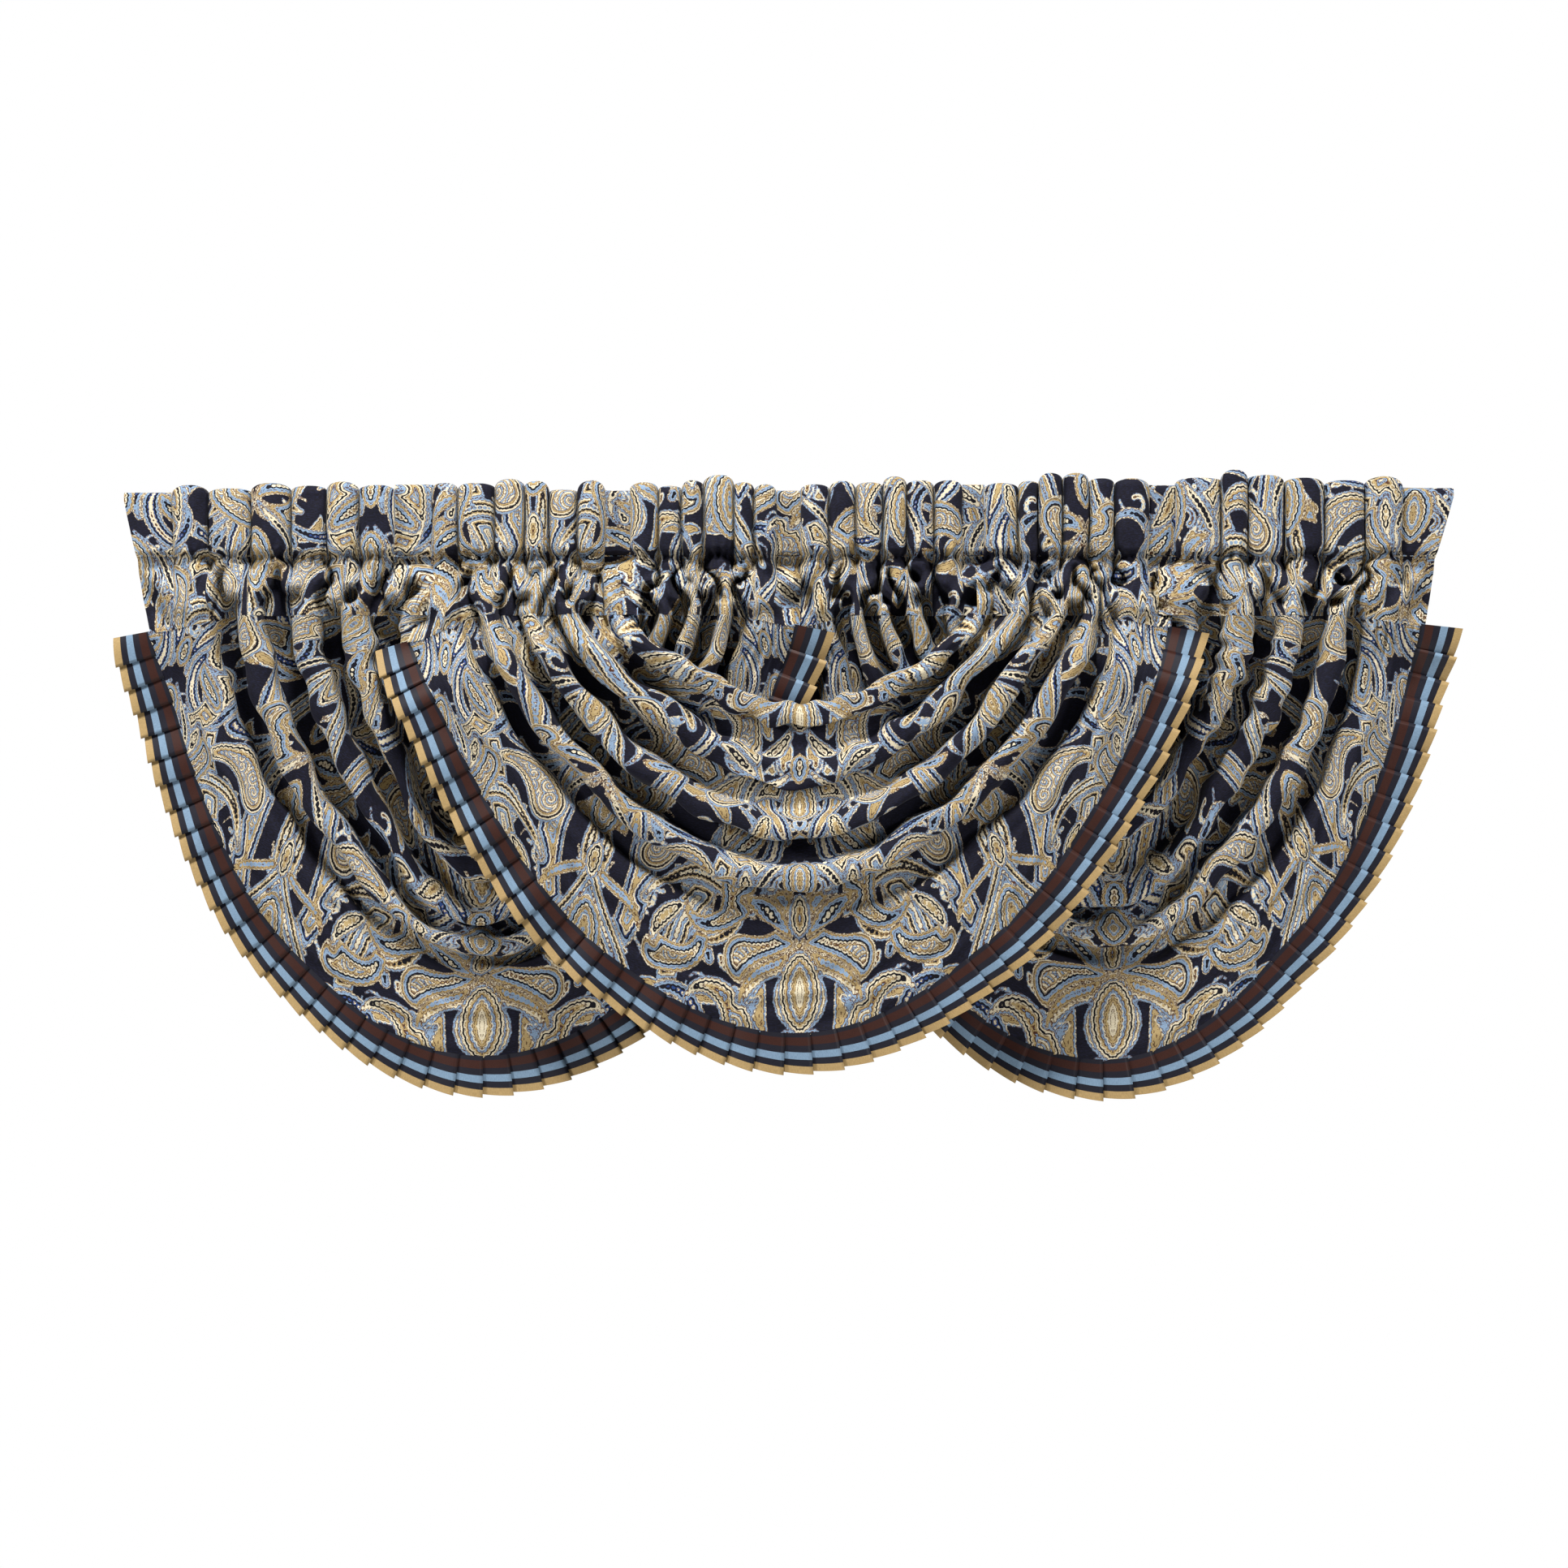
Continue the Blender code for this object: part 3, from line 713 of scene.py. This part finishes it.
def hem_frame(points):
    """Length along the hem, its points, and its outward direction in the X-Z plane."""
    hem = points[:, 0]
    run = running_length(hem, 0)
    direction = np.gradient(hem, axis=0)
    outward = np.stack([direction[:, 2], 0 * run, -direction[:, 0]], -1)
    outward /= np.linalg.norm(outward, axis=1)[:, None]
    return run, hem, outward


def trim_surface(points):
    """Points and flat coordinates of the pleated ribbon along a swag's hem, in mm."""
    run, hem, outward = hem_frame(points)
    pleats = round(run[-1] / PLEAT_PITCH)
    pitch = run[-1] / pleats
    draw = np.random.default_rng(pleats)
    rows = []
    used = 0.0
    for pleat in range(pleats):
        wander = draw.uniform(-1.2, 1.2)
        start = pleat * pitch
        back = UNDERLAP if pleat else 0
        for share in np.linspace(0, 1, 9):
            rows.append((start - back + share * (pitch + back + wander),
                         1.4 - PLEAT_LIFT * math.sin(share * math.pi / 2) ** 0.75,
                         share - 0.5, used + share * (pitch + back)))
        used += pitch + UNDERLAP
        if pleat < pleats - 1:
            for share in (0.08, 0.5, 0.92):
                rows.append((start + pitch + wander - share * UNDERLAP,
                             1.4 - PLEAT_LIFT + 1.1 + share * (PLEAT_LIFT - 2.0),
                             0.5 - 0.8 * share, used + share * UNDERLAP))
            used += UNDERLAP
    lengths, lifts, fans, ribbon = np.array(rows).T
    lengths = np.clip(lengths, 0, run[-1])
    centre = np.stack([np.interp(lengths, run, hem[:, axis]) for axis in range(3)], -1)
    out = np.stack([np.interp(lengths, run, outward[:, axis]) for axis in range(3)], -1)
    across = np.linspace(-TRIM_TUCK, TRIM_WIDTH, TRIM_ROWS)
    share = (across + TRIM_TUCK) / (TRIM_WIDTH + TRIM_TUCK)
    reach = across[None, :] + np.outer(fans, share * FAN_OUT)
    grid = centre[:, None, :] + out[:, None, :] * reach[..., None]
    grid[..., 1] += 1.2 + np.outer(lifts, mix(0.25, 1.0, share))
    flat_u = np.broadcast_to(ribbon[:, None], grid.shape[:2])
    flat_v = np.broadcast_to(across, grid.shape[:2])
    return grid, flat_u, flat_v


# %% Make each trim
trims = {}
for panel in PANELS:
    points, flat_u, flat_v = trim_surface(surfaces[panel.name])
    trims[panel.name] = cloth_mesh(panel.name + "_trim_ribbon", points, flat_u, flat_v,
                                   fields=False)
    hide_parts(panel.name + "_trim")

# %% [markdown]
# ## Colours and nodes
#
# Colours are written as sRGB hex values, the way a dyer's card gives them, and one
# function turns them into the linear values that the shader wants. Materials could be
# wired in the editor, but a script can be read again: another function adds a node with
# its settings and its links, so a material reads from top to bottom.


# %% Colour and node helpers
def linear(code):
    """Linear RGBA from an sRGB hex value."""
    channels = [int(code[i:i + 2], 16) / 255 for i in (1, 3, 5)]
    return (*[c / 12.92 if c <= 0.04045 else ((c + 0.055) / 1.055) ** 2.4 for c in channels], 1.0)


def add(tree, kind, *inputs, sockets=None, stops=None, **settings):
    """A node, such as Math.MULTIPLY. Inputs are nodes, outputs, values or None."""
    kind, _, operation = kind.partition(".")
    node = tree.nodes.new("ShaderNode" + kind)
    if operation:
        node.operation = operation
    for name, value in settings.items():
        setattr(node, name, value)
    wanted = [*zip(node.inputs, inputs)] + [(node.inputs[name], v) for name, v in (sockets or {}).items()]
    for socket, value in wanted:
        if isinstance(value, bpy.types.Node):
            value = value.outputs[0]
        if isinstance(value, bpy.types.NodeSocket):
            tree.links.new(value, socket)
        elif value is not None:
            socket.default_value = value
    if stops:
        ramp = node.color_ramp
        ramp.interpolation = "CONSTANT"
        while len(ramp.elements) < len(stops):
            ramp.elements.new(1.0)
        for element, (place, code) in zip(ramp.elements, stops):
            element.position = place
            element.color = linear(code)
    return node


def woven_noise(tree, flat, per_metre, detail, roughness):
    """Noise with so many threads to the metre along and across the cloth."""
    stretched = add(tree, "Mapping", flat, None, None, (*per_metre, 1))
    return add(tree, "TexNoise", stretched, None, 1.0, detail, roughness)


def shaded(tree, colour, noise, dark, bright):
    """A colour made darker and brighter by a noise."""
    shade = add(tree, "MapRange", noise, 0.3, 0.7, dark, bright)
    grey = add(tree, "CombineXYZ", shade, shade, shade)
    return add(tree, "MixRGB", 1.0, colour, grey, blend_type="MULTIPLY")


def new_material(name):
    """An empty material and its node tree."""
    material = bpy.data.materials.new(name)
    material.use_nodes = True
    material.node_tree.nodes.clear()
    return material, material.node_tree


NAVY = "#0f0e17"
NAVY_LIGHT = "#1c1e34"
CREAM = "#cbc0a5"
BLUE = "#7c92aa"
GOLD = "#a58f63"
BROWN = "#48291c"
ROYAL = "#22396a"
print("cream in linear light:", [round(c, 3) for c in linear(CREAM)])

# %% [markdown]
# ## Woven jacquard
#
# The real cloth is a polyester jacquard: a navy chenille ground with figures in
# cream, gold, light blue and brown. It is matt with a faint sheen, and its figures are
# crisp but slightly ragged, since they follow the threads, and stand a little over the
# ground. An image could carry this at one size only, so each layer of the design is a
# ramp with hard stops, read by depth inside the figure. The middle of a figure is
# filled with small curls, spirals about the cells of a Voronoi pattern. They keep off
# the mirror axes, where a pair would look like eyes. Real threads are about 0.4 mm
# apart, too fine to show here, and are drawn 1 to 2 mm wide.

# %% Stops of the layers, in mm of depth inside the figure
DEPTH_SCALE = 36          # mm of depth that a ramp covers
LAYER_STOPS = {
    "sprays": (((0, CREAM), (2.2, BLUE), (4.4, BROWN), (5.2, GOLD)),
               ((0, BLUE), (2.4, CREAM), (4.2, BROWN), (5.0, GOLD))),
    "bands": (((0, CREAM), (2.4, BROWN), (3.2, BLUE), (7.0, NAVY), (9.4, ROYAL), (10.6, CREAM),
               (13.4, BROWN), (14.2, GOLD), (17.4, BLUE), (22, CREAM), (25, BROWN), (26, GOLD)),
              ((0, BLUE), (3.4, BROWN), (4.2, CREAM), (6.4, GOLD), (8.2, NAVY), (10.8, CREAM),
               (12.6, BLUE), (16.6, BROWN), (17.4, CREAM), (20.2, GOLD), (23, BLUE))),
    "motifs": (((0, CREAM), (2.0, BROWN), (2.8, GOLD), (5.6, BLUE), (9.8, NAVY), (12.2, CREAM),
                (14.6, BROWN), (15.4, GOLD), (18.6, BLUE), (21.8, CREAM), (23.8, BROWN), (24.6, GOLD),
                (28.4, BLUE)),
               ((0, BLUE), (3.0, BROWN), (3.8, CREAM), (6.8, NAVY), (9.2, CREAM), (11.4, GOLD),
                (14.4, BROWN), (15.2, BLUE), (18.8, CREAM), (20.8, BROWN), (21.6, GOLD), (26, CREAM))),
}
CURL_STOPS = ((0, CREAM), (0.36, BROWN), (0.46, BLUE), (0.74, GOLD), (0.92, BROWN))
CURL_SPACING = 0.027      # metres between the middles of two curls
CURL_RINGS = 3.4
FILL_FROM = {"sprays": 30.0, "bands": 19.0, "motifs": 16.0}    # mm of depth where curls begin
AXIS_BARE = 0.022         # metres beside an axis that stay free of curls
ECHO_PITCH = 3.1          # mm between the broken brown threads that echo an outline
print("layers of figures:", list(LAYER_STOPS))


def curls(tree, flat):
    """Phase, 0 to 1, of small spirals that turn either way by chance."""
    cell = add(tree, "TexVoronoi", flat, None, 1 / CURL_SPACING, voronoi_dimensions="2D")
    chance = add(tree, "SeparateXYZ", cell.outputs["Color"])
    offset = add(tree, "VectorMath.SUBTRACT", flat, cell.outputs["Position"])
    split = add(tree, "SeparateXYZ", offset)
    angle = add(tree, "Math.ARCTAN2", split.outputs["Y"], split.outputs["X"])
    side = add(tree, "Math.GREATER_THAN", chance.outputs["X"], 0.5)
    turn = add(tree, "Math.MULTIPLY_ADD", side, 1 / math.pi, -0.5 / math.pi)
    spin = add(tree, "Math.MULTIPLY_ADD", angle, turn, chance.outputs["Y"])
    phase = add(tree, "Math.MULTIPLY_ADD", cell.outputs["Distance"], CURL_RINGS, spin)
    return add(tree, "Math.FRACT", phase)


def woven_layer(tree, layer, ragged, filigree, specks, off_axis):
    """Colour and mask of one layer of figures."""
    split = add(tree, "SeparateXYZ", add(tree, "Attribute", attribute_name=layer).outputs["Vector"])
    depth = add(tree, "Math.SUBTRACT", ragged, split.outputs["X"])
    beat = add(tree, "Math.MULTIPLY", split.outputs["Y"], math.pi / 8)
    scallop = add(tree, "Math.ABSOLUTE", add(tree, "Math.SINE", beat))
    deeper = add(tree, "Math.MULTIPLY_ADD", scallop, 1.5, depth)
    place = add(tree, "Math.MULTIPLY", deeper, 1 / DEPTH_SCALE)
    ramps = [add(tree, "ValToRGB", place, stops=[(p / DEPTH_SCALE, code) for p, code in stops])
             for stops in LAYER_STOPS[layer]]
    which = add(tree, "Math.GREATER_THAN", split.outputs["Z"], 0.5)
    colour = add(tree, "MixRGB", which, *ramps)
    deep = add(tree, "Math.GREATER_THAN", depth, FILL_FROM[layer])
    filled = add(tree, "Math.MULTIPLY", deep, off_axis)
    colour = add(tree, "MixRGB", filled, colour, filigree)
    echoes = add(tree, "Math.MULTIPLY", depth, 1 / ECHO_PITCH)
    echo = add(tree, "Math.LESS_THAN", add(tree, "Math.FRACT", echoes), 0.34)
    broken = add(tree, "Math.MULTIPLY", echo, specks)
    light = add(tree, "Math.GREATER_THAN", add(tree, "RGBToBW", colour), 0.16)
    broken = add(tree, "Math.MULTIPLY", broken, light)
    colour = add(tree, "MixRGB", broken, colour, linear(BROWN))
    mask = add(tree, "Math.GREATER_THAN", depth, 0.0)
    return colour, mask


# %% The jacquard
def jacquard(name):
    """The woven cloth: ground, three layers of figures, then threads and relief."""
    material, tree = new_material(name)
    raw = add(tree, "SeparateXYZ", add(tree, "UVMap", uv_map="flat"))
    mirrored = add(tree, "Math.PINGPONG", raw.outputs["X"], TILE_WIDTH * MM)
    flat = add(tree, "CombineXYZ", mirrored, raw.outputs["Y"])
    noise = add(tree, "TexNoise", flat, None, 160.0, 2.0, 0.6)
    ragged = add(tree, "Math.MULTIPLY_ADD", noise, 3.2, -1.6)
    filigree = add(tree, "ValToRGB", curls(tree, flat), stops=CURL_STOPS)
    aside = add(tree, "Math.PINGPONG", raw.outputs["X"], TILE_WIDTH * MM / 2)
    off_axis = add(tree, "Math.GREATER_THAN", aside, AXIS_BARE)

    dots = add(tree, "TexNoise", flat, None, 330.0, 1.0, 0.5)
    specks = add(tree, "MapRange", dots, 0.44, 0.50, 0.0, 0.85)
    streaks = woven_noise(tree, flat, (160, 800), 2.0, 0.7)
    streaked = add(tree, "MapRange", streaks, 0.45, 0.72, 0.0, 1.0)
    cloth = add(tree, "MixRGB", streaked, linear(NAVY), linear(NAVY_LIGHT))
    raised = 0.0
    for layer in FILL_FROM:
        colour, mask = woven_layer(tree, layer, ragged, filigree, specks, off_axis)
        cloth = add(tree, "MixRGB", mask, cloth, colour)
        raised = add(tree, "Math.MAXIMUM", raised, mask)

    threads = woven_noise(tree, flat, (420, 900), 3.0, 0.8)
    cloth = shaded(tree, cloth, threads, 0.70, 1.2)
    height = add(tree, "Math.MULTIPLY_ADD", threads, 0.4, raised)
    bump = add(tree, "Bump", sockets={"Strength": 0.45, "Distance": 0.0006, "Height": height})
    shader = add(tree, "BsdfPrincipled", cloth, sockets={
        "Roughness": 0.8, "Sheen Weight": 0.03, "Sheen Roughness": 0.4,
        "Specular IOR Level": 0.15, "Normal": bump})
    add(tree, "OutputMaterial", shader)
    return material


polyester_jacquard = jacquard("polyester_jacquard_woven")
for piece in (*swags.values(), *strip_pieces.values()):
    piece.data.materials.append(polyester_jacquard)
print("nodes in the jacquard:", len(polyester_jacquard.node_tree.nodes))

# %% [markdown]
# ## Grosgrain ribbon
#
# The trim is a striped polyester ribbon, ribbed across, which gives it a soft satin
# shine. Each stripe could be a strip of mesh of its own, but the stripes run along the
# ribbon, so one ramp reads them straight from the distance across it. The real ribs are
# half a millimetre wide and are drawn at 0.8 mm.

# %% Stripes across the ribbon, in mm from the sewn edge
RIBBON_SCALE = 64         # mm of width that the ramp covers
RIBBON_STOPS = ((0, "#12121d"), (6.5, "#30140c"), (18.5, "#12121d"), (28, "#6c8398"), (38.5, "#12121d"),
                (48, "#9a8156"))
print("stripes across the ribbon:", len(RIBBON_STOPS))


def grosgrain(name):
    """The striped ribbon with its ribs."""
    material, tree = new_material(name)
    flat = add(tree, "UVMap", uv_map="flat")
    across = add(tree, "SeparateXYZ", flat).outputs["Y"]
    place = add(tree, "Math.MULTIPLY_ADD", across, 1000 / RIBBON_SCALE, TRIM_TUCK / RIBBON_SCALE)
    stripes = add(tree, "ValToRGB", place, stops=[(p / RIBBON_SCALE, c) for p, c in RIBBON_STOPS])
    ribs = woven_noise(tree, flat, (1200, 200), 2.0, 0.7)
    ribbon = shaded(tree, stripes, ribs, 0.8, 1.15)
    bump = add(tree, "Bump", sockets={"Strength": 0.4, "Distance": 0.0004, "Height": ribs})
    shader = add(tree, "BsdfPrincipled", ribbon, sockets={
        "Roughness": 0.55, "Specular IOR Level": 0.25, "Normal": bump})
    add(tree, "OutputMaterial", shader)
    return material


polyester_grosgrain = grosgrain("polyester_grosgrain_striped")
for piece in trims.values():
    piece.data.materials.append(polyester_grosgrain)
print("nodes in the grosgrain:", len(polyester_grosgrain.node_tree.nodes))

# %% [markdown]
#
# A swag is cut as a fan, which fills 0.72 of the rectangle round it. A trim is the
# ribbon before pleating, and a strip is half as long again as the rod that it covers.
# These sizes are estimates. The cell below counts the pieces of cloth.

# %% Sheets
print("sheets:", len(swags) + len(trims) + len(strip_pieces))

# %% [markdown]
# ## Light, floor and camera
#
# The photograph is a product picture on white: most of the light falls steeply from
# above the front, so the folds shade the hollows below them, and weaker light comes
# from both sides. A bright sky would be simpler but would wash the hollows out, so the
# room is white to the camera and lights the cloth only faintly. A fourth lamp lights
# the backs. A long lens far away keeps the row straight.

# %% World and lamps
scene = bpy.context.scene
scene.view_settings.view_transform = "Standard"
world = bpy.data.worlds.new("white_room")
world.use_nodes = True
scene.world = world
sky = world.node_tree
background = sky.nodes["Background"]
background.inputs["Color"].default_value = (1, 1, 1, 1)
FAINT_SKY = 0.04
is_camera = add(sky, "LightPath").outputs["Is Camera Ray"]
strength = add(sky, "MapRange", is_camera, 0.0, 1.0, FAINT_SKY, 1.0)
sky.links.new(strength.outputs[0], background.inputs["Strength"])


MIDDLE = Vector((0.0, 0.0, -0.45))


def soft_lamp(name, place, size, power):
    """A round lamp in metres and watts that faces the middle of the row."""
    lamp = bpy.data.lights.new(name, "AREA")
    lamp.shape = "DISK"
    lamp.size = size
    lamp.energy = power
    holder = bpy.data.objects.new(name, lamp)
    scene.collection.objects.link(holder)
    holder.location = place
    holder.rotation_euler = (MIDDLE - Vector(place)).to_track_quat("-Z", "Y").to_euler()
    print(name, power, "watts")


soft_lamp("key_top", (-0.3, -1.55, 2.8), 0.8, 195)
soft_lamp("key_left", (-3.4, -1.9, 0.9), 0.7, 122)
soft_lamp("key_right", (3.4, -1.9, 0.9), 0.7, 96)
soft_lamp("rear_fill", (0.6, 3.6, 0.9), 1.2, 90)

# %% Floor
bpy.ops.mesh.primitive_plane_add(size=1, location=(0, -1.2, -1.85))
floor = bpy.context.object
floor.name = "pale_floor"
floor.scale = (5.0, 3.4, 1)
floor_material, floor_tree = new_material("painted_plaster_pale")
floor_noise = add(floor_tree, "TexNoise", None, None, 6.0)
floor_tone = add(floor_tree, "MixRGB", floor_noise, linear("#e9e8e6"), linear("#f2f1ef"))
floor_shader = add(floor_tree, "BsdfPrincipled", floor_tone, sockets={"Roughness": 0.9})
add(floor_tree, "OutputMaterial", floor_shader)
floor.data.materials.append(floor_material)

# %% Camera
CAMERA_DISTANCE = 7.0
FOLD_REACH = 0.05         # the folds stand about this far in front of the rod line
PIXEL = 1.2 * MM
FRAME_PIXELS = 1932
ORIGIN_PIXEL = (972, 596)    # where the frame's origin lies in the picture
SENSOR = 36
camera_data = bpy.data.cameras.new("camera")
camera_data.sensor_width = SENSOR
camera_data.lens = SENSOR * (CAMERA_DISTANCE - FOLD_REACH) / (FRAME_PIXELS * PIXEL)
camera = bpy.data.objects.new("camera", camera_data)
scene.collection.objects.link(camera)
camera.location = ((FRAME_PIXELS / 2 - ORIGIN_PIXEL[0]) * PIXEL, -CAMERA_DISTANCE,
                   (ORIGIN_PIXEL[1] - FRAME_PIXELS / 2) * PIXEL)
camera.rotation_euler = (math.radians(90), 0, 0)
scene.camera = camera
print("lens:", round(camera_data.lens, 1), "mm")
